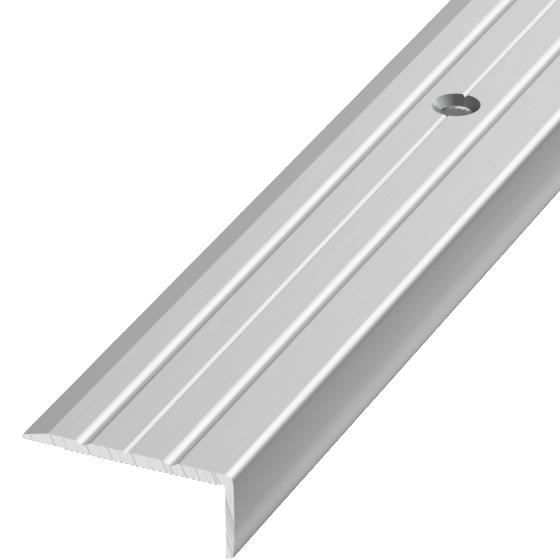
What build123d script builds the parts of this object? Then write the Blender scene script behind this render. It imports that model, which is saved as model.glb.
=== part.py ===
"""Step-edge threshold strip: one aluminium extrusion, L-shaped in section, sawn to length,
drilled and countersunk along its middle groove. Millimetres.

Origin: underside of the tread, on the line of the screws, halfway along the strip.
+X runs along the strip, +Y towards the thin back edge, +Z up; the lip hangs at the front, -Y.
"""

from build123d import *

import math
import os

# The strip as a whole
strip_length = 1000.0
strip_width = 35.25  # thin back edge to the front of the nosing
strip_height = 14.6  # top of the tread to the lower edge of the lip

# Tread
tread_thickness = 2.0
back_edge_thickness = 0.85
back_edge_radius = 0.4
bevel_width = 4.5
nosing_radius = 1.5

# Lip that hangs over the riser
lip_thickness = 1.4
lip_bow = 0.17  # how far the front of the lip swells past the nosing
lip_bow_depth = 9.6  # below the top of the tread, where it stands proudest
lip_tuck = 0.38  # how far the front then curves back in, down to the lower edge
lip_front_radius = 0.6
lip_back_radius = 0.2
inside_corner_radius = 0.25

# Grooves along the top
screw_line = 17.63  # from the back edge
back_groove_offset = 7.3  # behind the screw line
front_groove_offset = 7.36  # in front of the screw line
round_groove_width = 2.26
round_groove_depth = 0.55
vee_groove_width = 0.9
vee_groove_depth = 0.4

# Fine ribbing under the tread, which keys into adhesive
rib_pitch = 0.92
rib_flat = 0.46
rib_height = 0.24
ribs_from_back_edge = 7.0
ribs_from_lip = 0.5

# Screw holes
hole_radius = 2.9
countersink_radius = 4.2
hole_land = 0.3  # straight wall left under the countersink
end_to_first_hole = 125.0
hole_spacing_aim = 250.0

# Worked out from the sizes above
back_y = screw_line
front_y = screw_line - strip_width
lip_inner_y = front_y + lip_thickness
lip_bottom_z = tread_thickness - strip_height


def extrusion_outline():
    """Outer outline of the section, before the grooves, as (y, z) on the YZ plane."""
    back_top = (back_y, back_edge_thickness)
    bevel_top = (back_y - bevel_width, tread_thickness)
    nosing = (front_y, tread_thickness)
    proudest = (front_y - lip_bow, tread_thickness - lip_bow_depth)
    lip_front = (front_y - lip_bow + lip_tuck, lip_bottom_z)
    lip_back = (lip_inner_y, lip_bottom_z)
    inside_corner = (lip_inner_y, 0)
    back_bottom = (back_y, 0)
    edges = [
        Polyline(back_top, bevel_top, nosing),
        TangentArc(proudest, nosing, tangent=(0, 1)),
        TangentArc(proudest, lip_front, tangent=(0, -1)),
        Polyline(lip_front, lip_back, inside_corner, back_bottom, back_top),
    ]
    face = make_face(Curve() + edges)
    rounded = [
        (back_top, back_edge_radius),
        (back_bottom, back_edge_radius),
        (nosing, nosing_radius),
        (lip_front, min(lip_front_radius, 0.7 * lip_thickness)),
        (lip_back, min(lip_back_radius, 0.25 * lip_thickness)),
        (inside_corner, inside_corner_radius),
    ]
    for corner, radius in rounded:
        nearest = face.vertices().sort_by_distance((*corner, 0))[0]
        face = fillet(nearest, radius)
    return face


def round_groove(y):
    """Circular segment cut from the top face, round_groove_width wide at the surface."""
    half = round_groove_width / 2
    radius = (half**2 + round_groove_depth**2) / (2 * round_groove_depth)
    centre_z = tread_thickness - round_groove_depth + radius
    return Pos(y, centre_z) * Circle(radius)


def vee_groove():
    """Narrow V on the screw line that guides the drill; the cutter's upper half is in the open."""
    bottom = tread_thickness - vee_groove_depth
    top = tread_thickness + vee_groove_depth
    wide = vee_groove_width
    return make_face(Polyline((0, bottom), (wide, top), (-wide, top), close=True))


def ribs():
    """Row of ribs standing down from the underside, one of them exactly on the screw line; its
    upper edge is buried in the tread."""
    low_y = lip_inner_y + ribs_from_lip
    high_y = back_y - ribs_from_back_edge
    first = math.ceil(low_y / rib_pitch + 0.5)
    last = math.floor(high_y / rib_pitch - 0.5)
    points = [((first - 0.5) * rib_pitch, rib_height)]
    for step in range(first, last + 1):
        y = step * rib_pitch
        points.append((y - rib_pitch / 2, 0))
        points.append((y - rib_flat / 2, -rib_height))
        points.append((y + rib_flat / 2, -rib_height))
    points.append(((last + 0.5) * rib_pitch, 0))
    points.append(((last + 0.5) * rib_pitch, rib_height))
    return make_face(Polyline(*points, close=True))


def screw_hole_positions():
    """Holes keep end_to_first_hole at both ends and share the rest as near the aim as they can."""
    between = strip_length - 2 * end_to_first_hole
    gaps = max(1, round(between / hole_spacing_aim))
    return [-between / 2 + i * between / gaps for i in range(gaps + 1)]


def screw_hole_cutter():
    """Countersink down to a short straight land."""
    rise = tread_thickness - hole_land
    over = 0.5  # carries the cone and the drill clear of both faces
    spread = (countersink_radius - hole_radius) / rise * over
    upright = (Align.CENTER, Align.CENTER, Align.MIN)
    cone = Cone(hole_radius, countersink_radius + spread, rise + over, align=upright)
    drill = Cylinder(hole_radius, hole_land + over, align=upright)
    return Pos(0, 0, hole_land) * cone + Pos(0, 0, -over) * drill


def edge_profile():
    """The whole strip: section with its grooves, extruded both ways, then drilled."""
    section = extrusion_outline()
    section -= round_groove(back_groove_offset)
    section -= round_groove(-front_groove_offset)
    section -= vee_groove()
    section += ribs()
    strip = extrude(Plane.YZ * section, amount=strip_length / 2, both=True)
    for x in screw_hole_positions():
        strip -= Pos(x, 0, 0) * screw_hole_cutter()
    return strip


os.makedirs("parts", exist_ok=True)
profile = edge_profile()
profile.label = "edge_profile"
export_step(profile, "parts/edge_profile.step")
print("screw holes at x =", [round(x, 2) for x in screw_hole_positions()])
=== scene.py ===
"""The step-edge threshold strip as a finished piece: sawn, drilled and anodised aluminium."""

import math

import bmesh
import bpy
from mathutils import Matrix, Vector


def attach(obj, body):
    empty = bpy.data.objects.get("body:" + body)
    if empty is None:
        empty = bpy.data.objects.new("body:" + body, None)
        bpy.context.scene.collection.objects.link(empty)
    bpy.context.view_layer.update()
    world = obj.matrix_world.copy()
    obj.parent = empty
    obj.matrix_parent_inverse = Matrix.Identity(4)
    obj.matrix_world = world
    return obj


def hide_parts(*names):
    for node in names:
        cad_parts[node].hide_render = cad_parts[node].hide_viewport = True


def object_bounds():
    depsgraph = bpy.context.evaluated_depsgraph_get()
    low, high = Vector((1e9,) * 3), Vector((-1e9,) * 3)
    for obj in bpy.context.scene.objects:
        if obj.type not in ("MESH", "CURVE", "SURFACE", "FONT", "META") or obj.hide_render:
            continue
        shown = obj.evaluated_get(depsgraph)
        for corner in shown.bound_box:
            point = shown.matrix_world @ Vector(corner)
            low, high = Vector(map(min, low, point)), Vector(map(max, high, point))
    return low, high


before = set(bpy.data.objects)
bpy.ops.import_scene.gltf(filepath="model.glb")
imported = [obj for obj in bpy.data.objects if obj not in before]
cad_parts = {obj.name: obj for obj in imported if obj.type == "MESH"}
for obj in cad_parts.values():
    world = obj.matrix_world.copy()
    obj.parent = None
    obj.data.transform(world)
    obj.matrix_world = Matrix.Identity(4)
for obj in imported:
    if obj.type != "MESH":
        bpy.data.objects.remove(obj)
cad_low, cad_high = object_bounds()

# ---------------------------------------------------------------------------------------
# The extrusion: one bar of aluminium pushed through a die that gives it the whole L-shaped
# section at once, from the bevelled back edge to the lip that hangs over the riser. Its skin
# is satin, with painted shade that darkens the front walls of the grooves.

tread_thickness = 0.0020
back_edge_thickness = 0.00085
back_edge_radius = 0.0004
bevel_width = 0.0045
nosing_radius = 0.0015
lip_thickness = 0.0014
lip_bow = 0.00017
lip_bow_depth = 0.0096
lip_tuck = 0.00038
lip_front_radius = 0.0006
lip_back_radius = 0.0002
inside_corner_radius = 0.00025
screw_line_y = 0.0
round_groove_width = 0.00226
round_groove_depth = 0.00055
back_groove_y = screw_line_y + 0.0073
front_groove_y = screw_line_y - 0.00736
vee_width = 0.0009
vee_depth = 0.0004
rib_pitch = 0.00092
rib_flat = 0.00046
rib_height = 0.00024
ribs_from_back_edge = 0.0070
ribs_from_lip = 0.0005
die_edge_radius = 0.00005

near_x, far_x = cad_low.x, cad_high.x
back_y, proudest_y = cad_high.y, cad_low.y
top_z, lip_bottom_z = cad_high.z, cad_low.z
under_z = top_z - tread_thickness
lip_inner_y = proudest_y + lip_bow + lip_thickness

outline = bmesh.new()


def corner(y, z, before=None):
    """A corner of the section, joined to the one before it."""
    vert = outline.verts.new((near_x, y, z))
    if before:
        outline.edges.new((before, vert))
    return vert


def sweep(vert, centre_y, centre_z, angle, steps):
    """Carries the outline on round an arc and gives its last point."""
    arc = bmesh.ops.spin(
        outline, geom=[vert], cent=(near_x, centre_y, centre_z), axis=(1, 0, 0),
        angle=angle, steps=steps,
    )
    return arc["geom_last"][0]


def round_groove(before, y):
    """Crosses the tread's top face with one round groove; gives its two rims."""
    half = round_groove_width / 2
    radius = (half**2 + round_groove_depth**2) / (2 * round_groove_depth)
    back_rim = corner(y + half, top_z, before)
    turn = 2 * math.asin(half / radius)
    return back_rim, sweep(back_rim, y, top_z - round_groove_depth + radius, -turn, 24)


# Back edge, bevel and the top of the tread
back_top = corner(back_y, under_z + back_edge_thickness)
bevel_top = corner(back_y - bevel_width, top_z, back_top)
back_groove_rims = round_groove(bevel_top, back_groove_y)
vee_back_rim = corner(screw_line_y + vee_width / 2, top_z, back_groove_rims[1])
vee_bottom = corner(screw_line_y, top_z - vee_depth, vee_back_rim)
vee_front_rim = corner(screw_line_y - vee_width / 2, top_z, vee_bottom)
front_groove_rims = round_groove(vee_front_rim, front_groove_y)

# Nosing, and the front of the lip: a long slight bow that runs out of it, and a rounder
# stretch below that tucks the lower edge back in
bow_radius = (lip_bow_depth**2 + lip_bow**2) / (2 * lip_bow)
bow_centre = Vector((proudest_y + bow_radius, top_z - lip_bow_depth))
bow_above = math.asin((lip_bow_depth - nosing_radius) / (bow_radius - nosing_radius))
tuck_height = bow_centre.y - lip_bottom_z
tuck_radius = (tuck_height**2 + lip_tuck**2) / (2 * lip_tuck)
tuck_turn = math.asin(tuck_height / tuck_radius)
towards_nosing = Vector((-math.cos(bow_above), math.sin(bow_above)))
nosing_centre = bow_centre + (bow_radius - nosing_radius) * towards_nosing
nosing_start = corner(nosing_centre.x, top_z, front_groove_rims[1])
nosing_end = sweep(nosing_start, *nosing_centre, math.pi / 2 - bow_above, 20)
proudest = sweep(nosing_end, *bow_centre, bow_above, 8)
lip_front = sweep(proudest, proudest_y + tuck_radius, bow_centre.y, tuck_turn, 4)
lip_back = corner(lip_inner_y, lip_bottom_z, lip_front)
inside_corner = corner(lip_inner_y, under_z, lip_back)

# Ribs under the tread, one of them standing on the screw line
first_rib = math.ceil((lip_inner_y + ribs_from_lip) / rib_pitch + 0.5)
last_rib = math.floor((back_y - ribs_from_back_edge) / rib_pitch - 0.5)
last = corner((first_rib - 0.5) * rib_pitch, under_z, inside_corner)
for rib in range(first_rib, last_rib + 1):
    rib_y = rib * rib_pitch
    last = corner(rib_y - rib_flat / 2, under_z - rib_height, last)
    last = corner(rib_y + rib_flat / 2, under_z - rib_height, last)
    last = corner(rib_y + rib_pitch / 2, under_z, last)
back_bottom = corner(back_y, under_z, last)
outline.edges.new((back_bottom, back_top))

# The die has no knife-sharp corners, so neither has the bar
bmesh.ops.contextual_create(outline, geom=outline.edges[:])
bevel_slope = math.atan2(tread_thickness - back_edge_thickness, bevel_width)
back_top_reach = back_edge_radius * math.tan((math.pi / 2 - bevel_slope) / 2)
creases = [bevel_top, *back_groove_rims, vee_back_rim, vee_front_rim, *front_groove_rims]
for verts, reach, segments in (
    ([back_top], back_top_reach, 8),
    ([back_bottom], back_edge_radius, 8),
    ([lip_front], lip_front_radius * math.tan((math.pi / 2 - tuck_turn) / 2), 10),
    ([lip_back], lip_back_radius, 6),
    ([inside_corner], inside_corner_radius, 5),
    (creases, die_edge_radius, 2),
):
    bmesh.ops.bevel(
        outline, geom=verts, offset=reach, segments=segments, profile=0.5,
        affect="VERTICES", material=-1,
    )

bar = bmesh.ops.extrude_face_region(outline, geom=outline.faces[:])
pushed_out = [v for v in bar["geom"] if isinstance(v, bmesh.types.BMVert)]
bmesh.ops.translate(outline, verts=pushed_out, vec=(far_x - near_x, 0, 0))
bmesh.ops.recalc_face_normals(outline, faces=outline.faces[:])


def add(tree, kind, inputs, **settings):
    """A shader node; each input takes a plain value or another node's output."""
    node = tree.nodes.new("ShaderNode" + kind)
    for name, value in settings.items():
        setattr(node, name, value)
    for socket, value in inputs.items():
        if isinstance(value, bpy.types.NodeSocket):
            tree.links.new(value, node.inputs[socket])
        else:
            node.inputs[socket].default_value = value
    return node


def aluminium(name):
    """A metal finish: its material, its nodes, its shader and the piece's own coordinates."""
    finish = bpy.data.materials.new(name)
    finish.use_nodes = True
    tree = finish.node_tree
    shader = tree.nodes["Principled BSDF"]
    shader.inputs["Metallic"].default_value = 1
    return finish, tree, shader, add(tree, "TexCoord", {}).outputs["Object"]


def ranged(tree, value, low, high, start=0.3, end=0.7):
    """Spreads a pattern's middle values over low to high."""
    limits = {"Value": value, "From Min": start, "From Max": end, "To Min": low, "To Max": high}
    return add(tree, "MapRange", limits).outputs["Result"]


def tinted(tree, value, first, second):
    """Goes from the first colour to the second as the value goes from 0 to 1."""
    blend = add(tree, "ValToRGB", {"Fac": value})
    blend.color_ramp.elements[0].color = (*first, 1)
    blend.color_ramp.elements[1].color = (*second, 1)
    return blend.outputs["Color"]


def plus(tree, *terms):
    """Adds the values up."""
    total = terms[0]
    for term in terms[1:]:
        total = add(tree, "Math", {0: total, 1: term}, operation="ADD").outputs[0]
    return total


def times(tree, value, factor):
    """Multiplies one value by another."""
    return add(tree, "Math", {0: value, 1: factor}, operation="MULTIPLY").outputs[0]


def near_to(tree, value, middle, full, gone):
    """1 within full of the middle, fading to 0 at gone."""
    aside = add(tree, "Math", {0: value, 1: middle}, operation="SUBTRACT").outputs[0]
    aside = add(tree, "Math", {0: aside}, operation="ABSOLUTE").outputs[0]
    return ranged(tree, aside, 1.0, 0.0, full, gone)


skin_lines = (60, 2600, 2600)  # how fine the grain is along, across and up the bar
# the dark end of the skin's colour: the grain's faint lines lean a little towards it, and the
# painted shade on the grooves' front walls reaches it
skin_dark_grain_and_shade = (0.36, 0.36, 0.36)
skin_bright = (0.632, 0.632, 0.632)
skin_roughness = (0.115, 0.135)
faintest_line = 0.92  # of the way from dull to bright
# The painted shade on the grooves' front walls: how wide its strips are, how they fade, and how
# far above the underside it starts
shade_strip_half = 0.0001  # a groove's dull strip runs this far either side of its middle
shade_strip_gone = 0.0005
shade_from, shade_full = 0.0008, 0.0010  # above the underside, so that the ribs stay bright
vee_quarter = vee_width / 4
vee_gone = vee_quarter + 0.00003

anodised, tree, shader, place = aluminium("anodised_aluminium")
axes = add(tree, "SeparateXYZ", {0: place}).outputs
drawn = add(tree, "Mapping", {"Vector": place, "Scale": skin_lines}).outputs[0]
grain = add(tree, "TexNoise", {"Vector": drawn, "Scale": 1.0, "Detail": 3.0}).outputs[0]
cloud = add(tree, "TexNoise", {"Vector": place, "Scale": 90.0, "Detail": 2.0}).outputs[0]
# Painted shade: darker strips down the front wall of the V and of each round groove, kept off
# the ribs
painted_shade = near_to(tree, axes["Y"], screw_line_y - vee_quarter, vee_quarter, vee_gone)
for groove_y in (back_groove_y, front_groove_y):
    wall_y = groove_y - round_groove_width / 2 + shade_strip_half
    painted_shade = plus(tree, painted_shade, near_to(tree, axes["Y"], wall_y, shade_strip_half, shade_strip_gone))
on_top = ranged(tree, axes["Z"], 0, 1, under_z + shade_from, under_z + shade_full)
painted_shade = times(tree, painted_shade, on_top)
shade = plus(tree, ranged(tree, grain, faintest_line, 1.0), times(tree, painted_shade, -1.0))
tree.links.new(tinted(tree, shade, skin_dark_grain_and_shade, skin_bright), shader.inputs["Base Color"])
tree.links.new(ranged(tree, cloud, *skin_roughness), shader.inputs["Roughness"])
bump = add(tree, "Bump", {"Height": grain, "Strength": 0.05, "Distance": 0.00001})
tree.links.new(bump.outputs[0], shader.inputs["Normal"])

# ---------------------------------------------------------------------------------------
# The sawn ends: the bar is sawn square, which bares the metal. Slanting scores cross the cut,
# some deeper than others, and the ends of the ribs are painted darker as shade.

strong_scores = (
    0.01195, 0.00604, 0.0023, -0.0016, -0.0067, -0.00775, -0.0099, -0.0122, -0.01485, -0.01545,
)
faint_scores = (0.0157, 0.0099, 0.0042, 0.0008, -0.0044, -0.0112, -0.0136)
score_slants = (-0.47, -0.32)  # on the end of the tread, on the end of the lip
strong_width, strong_depth = 0.00017, 1.0
faint_width, faint_depth = 0.00013, 0.45
score_bottom = 0.00003
score_wander = 0.0002
lip_streaks, lip_streaks_fade = 0.6, 0.003
# where the painted shade on the ribs' ends fades in, and how far it keeps off the lip
rib_shade_below, rib_shade_above = 0.00002, 0.00003  # either side of the ribs' roots
rib_shade_from_lip = 0.0001
bare_bright = (0.9, 0.9, 0.9)
# reached by the deep scores, and by the painted shade on the ends of the ribs
bare_scored_and_shaded = (0.6, 0.6, 0.6)
sawn_roughness = 0.5

for face in outline.faces:
    if abs(face.normal.x) > 0.99:
        face.material_index = 1

sawn, tree, shader, place = aluminium("sawn_aluminium")
axes = add(tree, "SeparateXYZ", {0: place}).outputs
wander = add(tree, "TexNoise", {"Vector": place, "Scale": 700.0, "Detail": 1.0}).outputs[0]
above = add(tree, "Math", {0: axes["Z"], 1: under_z}, operation="MAXIMUM").outputs[0]
below = add(tree, "Math", {0: axes["Z"], 1: under_z}, operation="MINIMUM").outputs[0]
across = plus(
    tree, axes["Y"], times(tree, above, score_slants[0]), times(tree, below, score_slants[1]),
    times(tree, wander, score_wander),
)
wear_and_shade = 0.0
for places, width, depth in (
    (strong_scores, strong_width, strong_depth),
    (faint_scores, faint_width, faint_depth),
):
    for score in places:
        line = near_to(tree, across, score, score_bottom, width)
        wear_and_shade = plus(tree, times(tree, line, depth), wear_and_shade)
teeth = add(
    tree, "TexNoise", {"W": across, "Scale": 2500.0, "Detail": 3.0, "Roughness": 0.7},
    noise_dimensions="1D",
).outputs[0]
streaks = add(
    tree, "TexNoise", {"W": across, "Scale": 1200.0, "Detail": 1.0}, noise_dimensions="1D",
).outputs[0]
on_lip = ranged(tree, axes["Z"], lip_streaks, 0.0, under_z - lip_streaks_fade, under_z)
# Painted shade: below the underside and away from the lip, the sawn ends of the ribs are
# darkened towards the scored colour
rib_ends_shade = ranged(
    tree, axes["Z"], 1.0, 0.0, under_z - rib_shade_below, under_z + rib_shade_above,
)
off_lip = ranged(
    tree, axes["Y"], 0.0, 1.0,
    lip_inner_y + rib_shade_from_lip, lip_inner_y + 2 * rib_shade_from_lip,
)
wear_and_shade = plus(
    tree, wear_and_shade, ranged(tree, teeth, 0.0, 0.35),
    times(tree, ranged(tree, streaks, 0.0, 1.0, 0.35, 0.65), on_lip),
    times(tree, rib_ends_shade, off_lip),
)
tree.links.new(tinted(tree, wear_and_shade, bare_bright, bare_scored_and_shaded), shader.inputs["Base Color"])
shader.inputs["Roughness"].default_value = sawn_roughness
bump = add(tree, "Bump", {"Height": wear_and_shade, "Strength": 0.3, "Distance": 0.00002})
bump.invert = True
tree.links.new(bump.outputs[0], shader.inputs["Normal"])

strip_mesh = bpy.data.meshes.new("edge_profile_finished")
outline.to_mesh(strip_mesh)
outline.free()
strip = bpy.data.objects.new("edge_profile_finished", strip_mesh)
bpy.context.scene.collection.objects.link(strip)

# ---------------------------------------------------------------------------------------
# The screw holes: drilled through the V groove at even spacing and countersunk for flat
# screw heads, down to a short straight land. Fine rings run round the cone.

hole_radius = 0.0029
countersink_radius = 0.0042
hole_land = 0.0003
rim_flare = 0.00008
end_to_first_hole = 0.125
hole_spacing_aim = 0.250
tool_overrun = 0.0010
tool_lift = tool_overrun / 4
ring_dull = (0.56, 0.565, 0.57)
ring_bright = (0.64, 0.645, 0.65)
ring_roughness = (0.2, 0.28)

between = far_x - near_x - 2 * end_to_first_hole
gaps = max(1, round(between / hole_spacing_aim))
hole_places = [near_x + end_to_first_hole + i * between / gaps for i in range(gaps + 1)]

tool = bmesh.new()
profile = []
for radius, z in (
    (0, under_z - tool_overrun),
    (hole_radius, under_z - tool_overrun),
    (hole_radius, under_z + hole_land),
    (countersink_radius - rim_flare, top_z),
    (countersink_radius + tool_overrun, top_z + tool_lift),
    (0, top_z + tool_lift),
):
    profile.append(tool.verts.new((radius, screw_line_y, z)))
for start, end in zip(profile, profile[1:]):
    tool.edges.new((start, end))
bmesh.ops.bevel(
    tool, geom=[profile[3]], offset=rim_flare, segments=3, profile=0.5,
    affect="VERTICES", material=-1,
)
bmesh.ops.spin(
    tool, geom=tool.verts[:] + tool.edges[:], cent=(0, screw_line_y, 0), axis=(0, 0, 1),
    angle=2 * math.pi, steps=96, use_merge=True,
)
bmesh.ops.remove_doubles(tool, verts=tool.verts[:], dist=1e-7)
one_tool = tool.verts[:] + tool.edges[:] + tool.faces[:]
for x in hole_places:
    copied = bmesh.ops.duplicate(tool, geom=one_tool)["geom"]
    moved = [v for v in copied if isinstance(v, bmesh.types.BMVert)]
    bmesh.ops.translate(tool, verts=moved, vec=(x, 0, 0))
one_tool_verts = [v for v in one_tool if isinstance(v, bmesh.types.BMVert)]
bmesh.ops.delete(tool, geom=one_tool_verts, context="VERTS")
bmesh.ops.recalc_face_normals(tool, faces=tool.faces[:])
for face in tool.faces:
    face.material_index = 2

tool_mesh = bpy.data.meshes.new("countersink_tool")
tool.to_mesh(tool_mesh)
tool.free()
tool_object = bpy.data.objects.new("countersink_tool", tool_mesh)
bpy.context.scene.collection.objects.link(tool_object)

machined, tree, shader, place = aluminium("countersunk_aluminium")
depth = add(tree, "SeparateXYZ", {0: place}).outputs["Z"]
rings = add(
    tree, "TexNoise", {"W": depth, "Scale": 6000.0, "Detail": 2.0}, noise_dimensions="1D",
).outputs[0]
ring_colour = tinted(tree, ranged(tree, rings, 0, 1), ring_dull, ring_bright)
tree.links.new(ring_colour, shader.inputs["Base Color"])
tree.links.new(ranged(tree, rings, *ring_roughness), shader.inputs["Roughness"])
bump = add(tree, "Bump", {"Height": rings, "Strength": 0.2, "Distance": 0.00001})
tree.links.new(bump.outputs[0], shader.inputs["Normal"])

for finish in (anodised, sawn, machined):
    strip_mesh.materials.append(finish)
    tool_mesh.materials.append(finish)

cut = strip.modifiers.new("screw_holes", "BOOLEAN")
cut.operation = "DIFFERENCE"
cut.solver = "EXACT"
cut.object = tool_object
cut.material_mode = "INDEX"
finished_strip = strip.evaluated_get(bpy.context.evaluated_depsgraph_get())
drilled = bpy.data.meshes.new_from_object(finished_strip)
strip.modifiers.clear()
strip.data = drilled
bpy.data.objects.remove(tool_object)

sharp_from = math.radians(35)
finishing = bmesh.new()
finishing.from_mesh(drilled)
for face in finishing.faces:
    face.smooth = True
for edge in finishing.edges:
    edge.smooth = edge.calc_face_angle(math.pi) < sharp_from
finishing.to_mesh(drilled)
finishing.free()
strip.modifiers.new("flat_faces_stay_flat", "WEIGHTED_NORMAL").keep_sharp = True

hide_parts("edge_profile")
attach(strip, "root")

# ---------------------------------------------------------------------------------------
# The floor: a plain white table top that runs out of sight. The strip's metal neither mirrors
# it nor picks up light from it, and it throws no shadow.

floor_reach = 60.0
floor_gap = 0.00002
floor_white = (0.8, 0.8, 0.8, 1)
floor_top = bmesh.new()
bmesh.ops.create_grid(floor_top, x_segments=1, y_segments=1, size=floor_reach)
bmesh.ops.translate(floor_top, verts=floor_top.verts[:], vec=(0, 0, lip_bottom_z - floor_gap))
floor_mesh = bpy.data.meshes.new("floor")
floor_top.to_mesh(floor_mesh)
floor_top.free()
floor = bpy.data.objects.new("floor", floor_mesh)
bpy.context.scene.collection.objects.link(floor)
floor_finish = bpy.data.materials.new("table_top")
floor_finish.use_nodes = True
floor_shader = floor_finish.node_tree.nodes["Principled BSDF"]
floor_shader.inputs["Base Color"].default_value = floor_white
floor_shader.inputs["Roughness"].default_value = 0.9
floor_shader.inputs["Specular IOR Level"].default_value = 0
floor_mesh.materials.append(floor_finish)
floor.visible_diffuse = False
floor.visible_glossy = False
floor.visible_transmission = False
floor.visible_volume_scatter = False
floor.visible_shadow = False

# ---------------------------------------------------------------------------------------
# The light: a plain soft studio. Its main light is over the far end, weaker soft lights stand
# around the strip, and a low lamp past the near end lights the table only.

surround = 0.15
soft_lights = (  # azimuth, elevation, reach, how far it is full, strength
    (-11, 35.8, 50, 12, 1.0),  # the main light, over the far end
    (-12, 35.5, 24, 8, 0.12),  # its brighter middle
    (28, 6, 30, 6, 0.22),  # low over the far end, towards the back
    (-38, 5, 30, 10, 0.1),  # low over the far end, towards the front
    (-20, 10, 75, 55, 0.23),  # wide, from the far end
    (0, -8, 16, 6, 0.8),  # small, a little below the far end
    (-19, -31, 8, 2, 0.33),  # small, well below the far end, for the face of the lip
    (18, -35, 24, 14, -0.3),  # takes light away, to keep the lip's lower edge dark
    (155, -35, 70, 20, 0.9),  # below the near end, for the sawn metal
    (-95, 15, 60, 10, 0.3),  # straight in front
    (137, 22, 10, 5, 0.95),  # small, past the near end, towards the back
)
table_lamp_turn = (0, math.radians(-70), math.radians(8))

studio = bpy.data.worlds.new("studio")
bpy.context.scene.world = studio
studio.use_nodes = True
sky = studio.node_tree
sky.nodes.clear()
direction = add(sky, "TexCoord", {}).outputs["Generated"]


def soft_light(azimuth, elevation, reach, full, strength):
    """A round light in that direction: at its strength out to the angle full, gone at reach."""
    turn, level = math.radians(azimuth), math.radians(elevation)
    middle = Vector((
        math.cos(level) * math.cos(turn), math.cos(level) * math.sin(turn), math.sin(level),
    ))
    likeness = add(sky, "VectorMath", {0: direction, 1: middle}, operation="DOT_PRODUCT")
    aside = add(sky, "Math", {0: likeness.outputs["Value"]}, operation="ARCCOSINE")
    fade = {
        "Value": aside.outputs[0], "From Min": math.radians(full),
        "From Max": math.radians(reach), "To Min": strength, "To Max": 0,
    }
    return add(sky, "MapRange", fade, interpolation_type="SMOOTHSTEP").outputs["Result"]


total = surround
for light in soft_lights:
    total = plus(sky, soft_light(*light), total)

# The camera sees a plain white backdrop instead of the lights
lit = add(sky, "Background", {"Color": (1, 1, 1, 1), "Strength": total}).outputs[0]
backdrop = add(sky, "Background", {"Color": (1, 1, 1, 1), "Strength": 1.2}).outputs[0]
in_view = add(sky, "LightPath", {}).outputs["Is Camera Ray"]
shown = add(sky, "MixShader", {0: in_view, 1: lit, 2: backdrop}).outputs[0]
add(sky, "OutputWorld", {"Surface": shown})

table_light = bpy.data.lights.new("table_light", "SUN")
table_light.energy = 40
table_light.angle = math.radians(1)
table_lamp = bpy.data.objects.new("table_light", table_light)
table_lamp.rotation_euler = table_lamp_turn
bpy.context.scene.collection.objects.link(table_lamp)
table_only = bpy.data.collections.new("table_only")
table_only.objects.link(floor)
table_lamp.light_linking.receiver_collection = table_only

# ---------------------------------------------------------------------------------------
# The camera: above the near end and in front of it, looking along the strip with a long lens
# that takes in the sawn end and the first screw hole.

camera_azimuth = 24.87
camera_elevation = 28.78
camera_roll = -0.31
camera_distance = 0.9153
aim = Vector((near_x + 0.0579, 0.00135, top_z))
lens = bpy.data.cameras.new("camera")
lens.lens = 373.68
lens.sensor_width = 36
lens.clip_start = 0.05
camera = bpy.data.objects.new("camera", lens)
level, turn = math.radians(camera_elevation), math.radians(camera_azimuth)
looking = Vector((
    math.cos(level) * math.cos(turn), math.cos(level) * math.sin(turn), -math.sin(level),
))
right = looking.cross(Vector((0, 0, 1))).normalized()
upright = right.cross(looking)
standing = Matrix.Translation(aim - camera_distance * looking)
facing = Matrix((right, upright, -looking)).transposed().to_4x4()
camera.matrix_world = standing @ facing @ Matrix.Rotation(math.radians(camera_roll), 4, "Z")
bpy.context.scene.collection.objects.link(camera)
bpy.context.scene.camera = camera
bpy.context.scene.view_settings.view_transform = "Standard"
